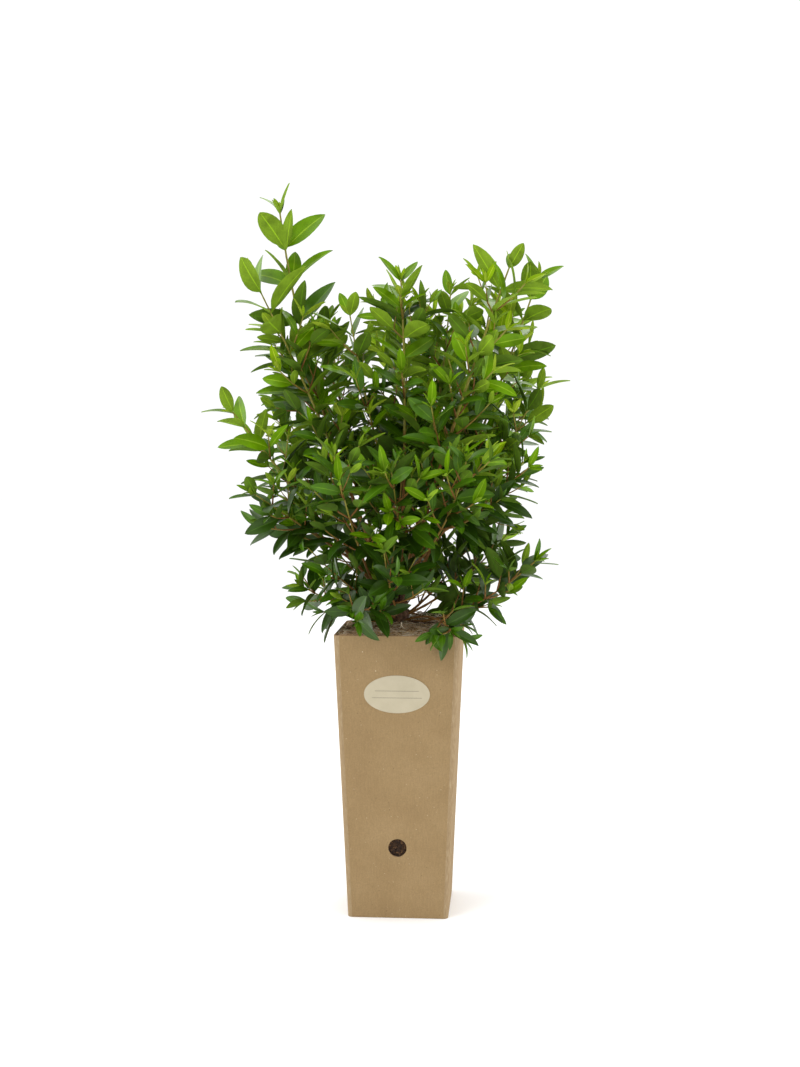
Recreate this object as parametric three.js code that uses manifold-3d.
// A common myrtle in a tall square pot of folded grey-brown board.
// Millimetres, +Z up. The origin is the centre of the pot's underside, and the label is on the -Y face.
// Every piece is a closed solid of its own: the pot, the soil, the coir disc on it, the oval label,
// the root crown, each bare stem, and each mass of foliage, which carries on from a stem's tip.
import * as THREE from "three";
import { mergeVertices } from "three/addons/utils/BufferGeometryUtils.js";
import Module from "manifold-3d";

const wasm = await Module();
wasm.setup();

// The clearance that pieces which meet keep between them.
const GAP = 0.3;

// The pot: outer widths across the flats, height, board thickness and the radius of a folded corner.
const RIM_WIDTH = 110;
const FOOT_WIDTH = 88;
const POT_HEIGHT = 250;
const BOARD = 2;
const CORNER_RADIUS = 5;
const DRAIN_RADIUS = 8;
const DRAIN_HEIGHT = 63;

// The oval label on the front.
const LABEL_WIDTH = 57;
const LABEL_HEIGHT = 33;
const LABEL_THICKNESS = 0.4;
const LABEL_CENTRE_HEIGHT = 199;

// What fills the pot: soil, and a disc of coir on it that swells up in the middle.
const SOIL_TOP = 243;
const COIR_EDGE_TOP = 249;
const COIR_SWELL = 6;

// The root crown, from its flat cut on the soil: [radius, height above the cut] down its side.
const CROWN_PROFILE = [[11.5, 0], [9.6, 7], [8.2, 13], [7.8, 20], [6.2, 26], [3.4, 29]];
const CROWN_HEIGHT = 30;
const CROWN_LEAN = -2.5;

// How a shoot thins out towards its tip, as a share of its radius at the foot.
const TIP_TAPER = 0.38;

// A bare stem's steps along it and sides round it, and the sides of the thinner limbs in the foliage.
const STEM_STEPS = 2;
const STEM_SIDES = 5;
const LIMB_SIDES = 3;

// Leaves stand in opposite pairs, each pair a quarter turn on from the last. There are fewer than on
// the living plant, and they are larger than life, so that the crown doesn't look thin.
const LEAF_LENGTH = 54;
const LEAF_WIDTH_SHARE = 0.42;
const LEAF_THICKNESS_SHARE = 0.03;
const LEAF_WIDEST_AT = 0.42;
const LEAF_DROOP_SHARE = 0.1;
const LEAF_FOLD_SHARE = 0.05;
const LENGTH_SPREAD = 0.3;
const INTERNODE = 30.5;
const STEM_TIP_RADIUS = 1.5;
const TWIG_RADIUS = 0.85;
const TWIG_TIP_RADIUS = 0.75;
const SPACE_MARGIN = 1;

// Leaves near the tip of a shoot are young and short. Below this height they never reach full length.
const YOUNG_SHARE = 0.52;
const YOUNG_ABOVE = 500;
const YOUNG_SPAN = 1 / 6;
const LOW_YOUTH = 0.25;

// How far a leaf leans out from its shoot: least at the tip, and more over the first share of it.
const TIP_LEAN = 0.6;
const LEAN_GAIN = 0.4;
const LEAN_SPAN = 1 / 3;
const LEAN_SPREAD = 0.3;

// How hard a leaf turns its face to the light, which comes from above and from outside the crown.
const LIGHT_PULL = 0.7;
const ROLL_SPREAD = 0.8;

// Side twigs lean forward along their shoot and up, and are shorter towards its tip.
const TWIG_FORWARD = 0.75;
const TWIG_LIFT = 0.25;
const TWIG_REACH = 1.1;
const TWIG_REACH_LOSS = 0.6;
const TWIG_REACH_SPREAD = 0.5;

// Leaves stand a little short of the bend that a shoot has at each node, and their roots, which lie
// inside the shoot, take up the first millimetres of them.
const NODE_SETBACK = 3;
const ROOT_LENGTH = 4;

// How a leaf or twig looks for room: turned by this much about its shoot, and shortened to this share.
const TRIES = [
  [0, 1], [0.7, 1], [-0.7, 1], [1.4, 0.85], [-1.4, 0.85], [0, 0.7], [0.7, 0.6], [-0.7, 0.6],
];

// The shoots. `from` is the root crown or the stem that a shoot forks from, and `at` the share of
// its length where it does. `tip` is its end, and `bend` how far its middle stands off the straight
// line. It is bare stem for the share `bare`, then foliage, whose last share `lead` has no side
// twigs. `girth` is its radius at the foot, and `spread` the length of its longest side twigs.
const SHOOTS = [
  // name, from, at, tip, bend, bare, girth, spread, lead
  ["tall_left", "root_crown", 0.8, [-107, -5, 619], [-16, 0, 4], 0.24, 2.09, 50, 0.5],
  ["right_centre", "root_crown", 0.75, [95, -35, 565], [-6, -24, -8], 0.26, 2.09, 52, 0.15],
  ["centre", "root_crown", 0.9, [1, -20, 556], [5, -12, 8], 0.24, 1.87, 48, 0.15],
  ["left", "root_crown", 0.6, [-143, -45, 442], [-5, 0, 5], 0.28, 1.8, 38, 0.3],
  ["right_upper", "root_crown", 0.65, [120, 12, 560], [4, 6, -4], 0.26, 1.87, 40, 0.2],
  ["back_left", "root_crown", 0.7, [-72, 85, 516], [-10, 12, 0], 0.24, 1.87, 56, 0.15],
  ["back_right", "root_crown", 0.8, [76, 92, 538], [8, 14, -4], 0.24, 1.87, 56, 0.15],
  ["back_centre", "root_crown", 0.85, [-5, 110, 538], [0, 18, -6], 0.24, 1.8, 56, 0.15],
  ["centre_right", "root_crown", 0.95, [42, 28, 548], [6, 8, 0], 0.22, 1.73, 48, 0.15],
  ["second_left", "tall_left", 0.21, [-129, -30, 563], [3, -4, 2], 0.2, 1.51, 44, 0.4],
  ["top_left_mid", "centre", 0.2, [-43, -25, 526], [-4, 0, 4], 0.15, 1.44, 48, 0.15],
  ["right_mid", "right_upper", 0.22, [120, -5, 463], [6, 0, -4], 0.15, 1.3, 36, 0.2],
  ["right_mid_low", "right_centre", 0.22, [108, -30, 399], [4, 0, -6], 0.15, 1.3, 44, 0.2],
  ["front_right_mid", "right_centre", 0.14, [60, -84, 400], [6, -8, -6], 0.2, 1.3, 46, 0.15],
  ["front_centre", "centre", 0.12, [-2, -88, 392], [2, -10, 0], 0.2, 1.3, 46, 0.15],
  ["front_left_mid", "left", 0.14, [-49, -96, 405], [0, -12, -6], 0.2, 1.3, 48, 0.15],
  ["left_low", "left", 0.25, [-120, -70, 372], [0, 0, 0], 0.2, 1.3, 38, 0.2],
  ["back_left_mid", "back_left", 0.2, [-118, 66, 452], [-4, 0, -6], 0.2, 1.37, 42, 0.2],
  ["back_right_mid", "back_right", 0.2, [108, 84, 470], [4, 0, -6], 0.2, 1.37, 42, 0.2],
  ["back_mid", "back_centre", 0.2, [12, 146, 448], [0, 6, -8], 0.2, 1.37, 50, 0.2],
  ["right_low", "root_crown", 0.4, [118, -45, 314], [0, 0, -14], 0.3, 1.37, 28, 0.2],
  ["right_low_upper", "root_crown", 0.55, [94, 5, 334], [0, 4, -10], 0.25, 1.37, 34, 0.2],
  ["front_right", "root_crown", 0.38, [47, -70, 257], [3, 4, 8], 0.45, 1.22, 28, 0],
  ["left_sprig", "root_crown", 0.42, [-84, -36, 290], [0, 0, -4], 0.45, 1.15, 26, 0.2],
  ["left_lowest", "root_crown", 0.52, [-76, -60, 326], [0, 0, -6], 0, 1.22, 28, 0.2],
  ["front_left", "root_crown", 0.45, [-36, -68, 273], [0, 0, 4], 0, 1.22, 38, 0],
  ["front_low", "root_crown", 0.6, [-8, -90, 325], [0, -10, -6], 0, 1.22, 42, 0.2],
  ["back_left_low", "root_crown", 0.5, [-78, 70, 352], [0, 0, -12], 0, 1.37, 44, 0.2],
  ["back_right_low", "root_crown", 0.5, [76, 80, 350], [0, 0, -12], 0, 1.37, 44, 0.2],
  ["back_low", "root_crown", 0.55, [-4, 116, 332], [0, 0, -12], 0, 1.37, 50, 0.2],
].map(([name, from, at, tip, bend, bare, girth, spread, lead]) => {
  return { name, from, at, tip, bend, bare, girth, spread, lead };
});

// How far the crown reaches, by height: [height, to the left, to the right], and to front and back.
// No mass rises further than this above the tip of its own shoot.
const CROWN_SIDES = [
  [240, -66, 76], [265, -112, 96], [300, -112, 128], [320, -118, 151], [345, -142, 132], [370, -146, 120],
  [400, -156, 126], [440, -186, 138], [460, -162, 159], [490, -152, 142], [540, -162, 134], [600, -138, 140],
];
const CROWN_FRONT = -135;
const CROWN_BACK = 160;
const TIP_RISE = 23;

const UP = new THREE.Vector3(0, 0, 1);

// The looks, as plain colours.
const finish = (color, roughness) => new THREE.MeshStandardMaterial({ color, roughness, metalness: 0 });
const BOARD_FINISH = finish(0xa78c67, 0.9);
const LABEL_FINISH = finish(0xd6cfb2, 0.7);
const SOIL_FINISH = finish(0x35271c, 1);
const COIR_FINISH = finish(0x86694f, 1);
const BARK_FINISH = finish(0x7a553a, 0.8);
const LEAF_FINISH = finish(0x3f7a16, 0.45);

// Seeded random numbers from 0 to 1, the same on every run.
function randomFrom(seed) {
  let state = seed >>> 0;
  return () => {
    state = (state + 0x6d2b79f5) >>> 0;
    let mixed = Math.imul(state ^ (state >>> 15), state | 1);
    mixed ^= mixed + Math.imul(mixed ^ (mixed >>> 7), mixed | 61);
    return ((mixed ^ (mixed >>> 14)) >>> 0) / 4294967296;
  };
}

// A closed geometry as a solid that can be cut and joined.
function solidOf(geometry) {
  const bare = new THREE.BufferGeometry().setAttribute("position", geometry.getAttribute("position"));
  bare.setIndex(geometry.index);
  const merged = mergeVertices(bare, 1e-4);
  return new wasm.Manifold(
    new wasm.Mesh({
      numProp: 3,
      vertProperties: merged.attributes.position.array,
      triVerts: new Uint32Array(merged.index.array),
    }),
  );
}

// The largest body of a solid: a cut can leave a scrap, and a join can seal a hollow.
function mainBody(solid) {
  return solid.decompose().reduce((best, body) => (body.volume() > best.volume() ? body : best));
}

function meshOf(name, solid, material) {
  const { numProp, vertProperties, triVerts } = solid.getMesh();
  const geometry = new THREE.BufferGeometry();
  const points = new THREE.InterleavedBuffer(vertProperties, numProp);
  geometry.setAttribute("position", new THREE.InterleavedBufferAttribute(points, 3, 0));
  geometry.setIndex(new THREE.BufferAttribute(triVerts, 1));
  const mesh = new THREE.Mesh(geometry, material);
  mesh.name = name;
  return mesh;
}

// Moves each vertex of a geometry by a rule that takes and changes a vector.
function reshape(geometry, rule) {
  const position = geometry.getAttribute("position");
  const point = new THREE.Vector3();
  for (let i = 0; i < position.count; i++) {
    rule(point.fromBufferAttribute(position, i));
    position.setXYZ(i, point.x, point.y, point.z);
  }
  return geometry;
}

// The pot

const potWidthAt = (z) => FOOT_WIDTH + ((RIM_WIDTH - FOOT_WIDTH) * z) / POT_HEIGHT;
const wallTilt = Math.atan((RIM_WIDTH - FOOT_WIDTH) / 2 / POT_HEIGHT);

function roundedSquare(width, radius) {
  const edge = width / 2 - radius;
  const shape = new THREE.Shape();
  shape.absarc(edge, edge, radius, 0, Math.PI / 2);
  shape.absarc(-edge, edge, radius, Math.PI / 2, Math.PI);
  shape.absarc(-edge, -edge, radius, Math.PI, 1.5 * Math.PI);
  shape.absarc(edge, -edge, radius, 1.5 * Math.PI, 2 * Math.PI);
  return shape;
}

// A block with the pot's taper, between two heights, drawn in from the pot's outer faces.
function taperedBlock(inset, bottom, top) {
  const width = RIM_WIDTH - 2 * inset;
  const outline = roundedSquare(width, CORNER_RADIUS - inset);
  const options = { depth: top - bottom, bevelEnabled: false, curveSegments: 4 };
  const block = new THREE.ExtrudeGeometry(outline, options);
  return solidOf(
    reshape(block, (point) => {
      point.z += bottom;
      const scale = (potWidthAt(point.z) - 2 * inset) / width;
      point.x *= scale;
      point.y *= scale;
    }),
  );
}

function makePot() {
  const drains = new THREE.CylinderGeometry(DRAIN_RADIUS, DRAIN_RADIUS, 2 * RIM_WIDTH, 24);
  drains.translate(0, 0, DRAIN_HEIGHT);
  return taperedBlock(0, 0, POT_HEIGHT)
    .subtract(taperedBlock(BOARD, BOARD, POT_HEIGHT + 1))
    .subtract(solidOf(drains));
}

// The label lies on the front wall, which leans forward as it rises.
function makeLabel() {
  const oval = new THREE.Shape().absellipse(0, 0, LABEL_WIDTH / 2, LABEL_HEIGHT / 2, 0, 2 * Math.PI);
  const options = { depth: LABEL_THICKNESS, bevelEnabled: false, curveSegments: 24 };
  const plate = new THREE.ExtrudeGeometry(oval, options);
  plate.translate(0, 0, GAP);
  plate.rotateX(Math.PI / 2 + wallTilt);
  plate.translate(0, -potWidthAt(LABEL_CENTRE_HEIGHT) / 2, LABEL_CENTRE_HEIGHT);
  return solidOf(plate);
}

// The top of the coir swells from the pot's walls to its middle.
function coirSwell(x, y) {
  const half = RIM_WIDTH / 2;
  return COIR_SWELL * Math.max(0, 1 - (x / half) ** 2) * Math.max(0, 1 - (y / half) ** 2);
}

function makeCoirBlock(raise) {
  const thickness = COIR_EDGE_TOP - SOIL_TOP - GAP;
  const block = new THREE.BoxGeometry(RIM_WIDTH, RIM_WIDTH, thickness, 6, 6, 1);
  return solidOf(
    reshape(block, (point) => {
      const top = point.z > 0;
      point.z += COIR_EDGE_TOP - thickness / 2;
      if (top) point.z += raise + coirSwell(point.x, point.y);
    }),
  );
}

// The stems

const crownFoot = SOIL_TOP + GAP;
const crownAxis = (share) => new THREE.Vector3(CROWN_LEAN * share, 0, crownFoot + CROWN_HEIGHT * share);

function makeCrown(grow) {
  const side = CROWN_PROFILE.map(([radius, height]) => new THREE.Vector2(radius + grow, height));
  const profile = [new THREE.Vector2(0, 0), ...side, new THREE.Vector2(0, CROWN_HEIGHT + grow)];
  const lathe = new THREE.LatheGeometry(profile, 12);
  lathe.rotateX(Math.PI / 2);
  return solidOf(
    reshape(lathe, (point) => {
      point.x += (CROWN_LEAN * point.z) / CROWN_HEIGHT;
      point.z += crownFoot;
    }),
  );
}

// The line of a shoot: a quadratic curve whose middle stands off the straight line by its bend.
function shootCurve({ from, at, tip, bend }, curves) {
  const start = from === "root_crown" ? crownAxis(at) : curves.get(from).getPoint(at);
  const end = new THREE.Vector3(...tip);
  const control = start.clone().lerp(end, 0.5).addScaledVector(new THREE.Vector3(...bend), 2);
  return new THREE.QuadraticBezierCurve3(start, control, end);
}

const radiusAlong = (girth) => (share) => girth * (1 - (1 - TIP_TAPER) * share);

// The direction across a shoot that is turned by an angle about its heading.
function acrossFrom(heading, turn) {
  const reference = Math.abs(heading.y) < 0.95 ? new THREE.Vector3(0, 1, 0) : new THREE.Vector3(1, 0, 0);
  return reference.cross(heading).normalize().applyAxisAngle(heading, turn);
}

// Points along a curve between two shares of it.
function pointsOf(curve, from, to, steps) {
  return Array.from({ length: steps + 1 }, (_, i) => curve.getPoint(from + ((to - from) * i) / steps));
}

// A cylinder bent through points, with a radius for each share of the way. The middle of one of its
// sides faces the way that the turn says.
function bentCylinder(points, radiusAt, sides, turn = 0) {
  const steps = points.length - 1;
  const cylinder = new THREE.CylinderGeometry(1, 1, steps, sides, steps, false, Math.PI / sides);
  return solidOf(
    reshape(cylinder, (point) => {
      const ring = Math.round(point.y + steps / 2);
      const heading = points[Math.min(ring + 1, steps)].clone();
      heading.sub(points[Math.max(ring - 1, 0)]).normalize();
      const across = acrossFrom(heading, turn).multiplyScalar(point.z);
      across.addScaledVector(acrossFrom(heading, turn + Math.PI / 2), point.x);
      point.copy(points[ring]).addScaledVector(across, radiusAt(ring / steps));
    }),
  );
}

// Where a share of the way along straight pieces is, and which way it heads there.
function placeOn(points, share) {
  const path = new THREE.CurvePath();
  for (let i = 1; i < points.length; i++) path.add(new THREE.LineCurve3(points[i - 1], points[i]));
  return { node: path.getPoint(share), heading: path.getTangent(share) };
}

function makeStem(shoot, curve, grow) {
  const girthAt = radiusAlong(shoot.girth);
  const radiusAt = (share) => girthAt(share * shoot.bare) + grow;
  return bentCylinder(pointsOf(curve, 0, shoot.bare, STEM_STEPS), radiusAt, STEM_SIDES);
}

// The foliage

// Whether a point is inside the crown's reach.
function isInCrown({ x, y, z }) {
  const above = Math.max(1, CROWN_SIDES.findIndex(([height]) => height > z));
  const upper = z > CROWN_SIDES.at(-1)[0] ? CROWN_SIDES.at(-1) : CROWN_SIDES[above];
  const lower = CROWN_SIDES[above - 1];
  const share = THREE.MathUtils.clamp((z - lower[0]) / (upper[0] - lower[0]), 0, 1);
  const left = THREE.MathUtils.lerp(lower[1], upper[1], share);
  const right = THREE.MathUtils.lerp(lower[2], upper[2], share);
  return x > left && x < right && y > CROWN_FRONT && y < CROWN_BACK;
}

// A point belongs to the mass whose line it is nearest to, by a margin.
function isInSpace(point, own, axes) {
  const nearest = (axis) => Math.min(...axis.map((sample) => sample.distanceTo(point)));
  const reach = nearest(own) + SPACE_MARGIN;
  return axes.every((axis) => axis === own || nearest(axis) > reach);
}

// A leaf is an octahedron drawn out flat: its foot, its tip, two edges, and a face on either side.
function makeLeaf({ foot, along, face, length }) {
  const side = along.clone().cross(face);
  const halfWidth = (length * LEAF_WIDTH_SHARE) / 2;
  const halfThickness = (length * LEAF_THICKNESS_SHARE) / 2;
  return solidOf(
    reshape(new THREE.OctahedronGeometry(1), (point) => {
      const { x, y, z } = point;
      const share = y > 0.5 ? 1 : y < -0.5 ? 0 : LEAF_WIDEST_AT;
      const sag = LEAF_FOLD_SHARE * Math.abs(x) - LEAF_DROOP_SHARE * share ** 3;
      const lift = z * halfThickness + length * sag;
      point.copy(foot).addScaledVector(along, share * length);
      point.addScaledVector(side, x * halfWidth).addScaledVector(face, lift);
    }),
  );
}

// The points of a leaf that have to lie in its mass's space.
function leafPoints({ foot, along, face, length }) {
  const across = along.clone().cross(face).multiplyScalar((length * LEAF_WIDTH_SHARE) / 2);
  const widest = foot.clone().addScaledVector(along, LEAF_WIDEST_AT * length);
  const tip = foot.clone().addScaledVector(along, length);
  return [tip, widest, widest.clone().add(across), widest.clone().sub(across)];
}

// A leaf less its root, which is what has to be clear of everything else.
function bladeOf(leaf) {
  const foot = leaf.foot.clone().addScaledVector(leaf.along, ROOT_LENGTH);
  return { ...leaf, foot, length: leaf.length - ROOT_LENGTH };
}

function makeTwig(foot, tip, turn) {
  const radiusAt = (share) => TWIG_RADIUS + (TWIG_TIP_RADIUS - TWIG_RADIUS) * share;
  return bentCylinder([foot, tip], radiusAt, LIMB_SIDES, turn);
}

// One leaf at a node, leaning towards the shoot's tip, on the side that the turn says, with its face
// twisted to the light.
function leafAt(node, heading, turn, lean, roll, length) {
  const across = acrossFrom(heading, turn);
  const along = heading.clone().multiplyScalar(Math.cos(lean)).addScaledVector(across, Math.sin(lean));
  const face = heading.clone().multiplyScalar(Math.sin(lean)).addScaledVector(across, -Math.cos(lean));
  const light = new THREE.Vector3(node.x, node.y, 0).normalize().add(UP);
  face.addScaledVector(light, LIGHT_PULL).addScaledVector(along, -face.dot(along));
  face.normalize().applyAxisAngle(along, roll);
  return { foot: node, along, face, length };
}

function makeFoliage(shoot, curve, axes, own, obstacles, seed) {
  const random = randomFrom(seed);
  const around = (middle, spread) => middle + spread * (random() - 0.5);
  const firstTurn = around(0, 1);
  const top = shoot.tip[2] + TIP_RISE;
  const fits = (point) => point.z < top && isInCrown(point) && isInSpace(point, own, axes);
  const isClear = (solid) => solid.intersect(obstacles).isEmpty() && solid.intersect(grown).isEmpty();

  // The mass's own stem carries on from its bough's tip, or stands on the root crown.
  const start = shoot.bare + (shoot.bare > 0 ? GAP / curve.getLength() : 0);
  const stemLength = curve.getLength() * (1 - start);
  const nodes = Math.max(2, Math.round(stemLength / INTERNODE));
  const points = pointsOf(curve, start, 1, Math.ceil(nodes / 2));
  const girthAt = radiusAlong(shoot.girth);
  const stemRadius = (share) => Math.max(STEM_TIP_RADIUS, girthAt(start + share * (1 - start)));
  let grown = mainBody(bentCylinder(points, stemRadius, LIMB_SIDES, firstTurn).subtract(obstacles));

  // Each leaf of a pair is turned, then shortened, until it finds room, or else left out.
  const addPair = (node, heading, turn, age) => {
    for (const side of [0, Math.PI]) {
      const lean = around(TIP_LEAN + LEAN_GAIN * Math.min(1, age / LEAN_SPAN), LEAN_SPREAD);
      const roll = around(0, ROLL_SPREAD);
      const youth = node.z > YOUNG_ABOVE ? Math.max(0, 1 - age / YOUNG_SPAN) : LOW_YOUTH;
      const length = LEAF_LENGTH * (1 - (1 - YOUNG_SHARE) * youth) * around(1, LENGTH_SPREAD);
      for (const [more, share] of TRIES) {
        const leaf = leafAt(node, heading, turn + side + more, lean, roll, length * share);
        if (leafPoints(leaf).every(fits) && isClear(makeLeaf(bladeOf(leaf)))) {
          grown = grown.add(makeLeaf(leaf));
          break;
        }
      }
    }
  };

  // A side twig is straight and turns up to the light, with a pair of leaves near its tip and, on a
  // longer one, a pair half way along.
  const addTwig = (node, heading, turn, reach) => {
    for (const [more, share] of TRIES) {
      const out = acrossFrom(heading, turn + more).addScaledVector(heading, TWIG_FORWARD);
      out.addScaledVector(UP, TWIG_LIFT).normalize();
      const length = reach * share;
      const tip = node.clone().addScaledVector(out, length);
      const past = node.clone().addScaledVector(out, ROOT_LENGTH);
      if (!fits(tip) || !isClear(makeTwig(past, tip, turn))) continue;
      grown = grown.add(makeTwig(node, tip, turn));
      const pairs = length > INTERNODE ? 2 : 1;
      for (let i = 0; i < pairs; i++) {
        const back = NODE_SETBACK + (i * length) / 2;
        addPair(tip.clone().addScaledVector(out, -back), out, turn + ((i + 1) * Math.PI) / 2, back / length);
      }
      return;
    }
  };

  for (let i = nodes; i > 0; i--) {
    const share = i / nodes - NODE_SETBACK / stemLength;
    const turn = (i * Math.PI) / 2 + firstTurn;
    const leafPlace = placeOn(points, share - NODE_SETBACK / stemLength);
    addPair(leafPlace.node, leafPlace.heading, turn, 1 - i / nodes);
    if (share > 1 - shoot.lead) continue;
    const twigPlace = placeOn(points, share);
    const reach = shoot.spread * (TWIG_REACH - TWIG_REACH_LOSS * share) * around(1, TWIG_REACH_SPREAD);
    const side = i % 2 ? Math.PI / 4 : (5 * Math.PI) / 4;
    addTwig(twigPlace.node, twigPlace.heading, turn + side, reach);
  }
  return mainBody(grown);
}

// The plant, built up in order so that each piece is cut clear of those before it

const myrtle = new THREE.Group();
myrtle.add(meshOf("pot", makePot(), BOARD_FINISH));
myrtle.add(meshOf("label", makeLabel(), LABEL_FINISH));
myrtle.add(meshOf("soil", taperedBlock(BOARD + GAP, BOARD + GAP, SOIL_TOP), SOIL_FINISH));
myrtle.add(meshOf("root_crown", makeCrown(0), BARK_FINISH));

const curves = new Map();
let taken = makeCrown(GAP);
for (const shoot of SHOOTS) {
  const curve = shootCurve(shoot, curves);
  curves.set(shoot.name, curve);
  if (shoot.bare === 0) continue;
  const stem = mainBody(makeStem(shoot, curve, 0).subtract(taken));
  myrtle.add(meshOf("stem_" + shoot.name, stem, BARK_FINISH));
  taken = taken.add(makeStem(shoot, curve, GAP));
}

const coir = makeCoirBlock(0).intersect(taperedBlock(BOARD + GAP, SOIL_TOP, POT_HEIGHT + COIR_SWELL + 1));
myrtle.add(meshOf("coir_disc", mainBody(coir.subtract(taken)), COIR_FINISH));

const obstacles = taken.add(taperedBlock(-GAP, 0, POT_HEIGHT + GAP)).add(makeCoirBlock(GAP));
const axes = SHOOTS.map((shoot) => pointsOf(curves.get(shoot.name), shoot.bare, 1, 8));
SHOOTS.forEach((shoot, i) => {
  const foliage = makeFoliage(shoot, curves.get(shoot.name), axes, axes[i], obstacles, i + 1);
  myrtle.add(meshOf("foliage_" + shoot.name, foliage, LEAF_FINISH));
});

export default myrtle;
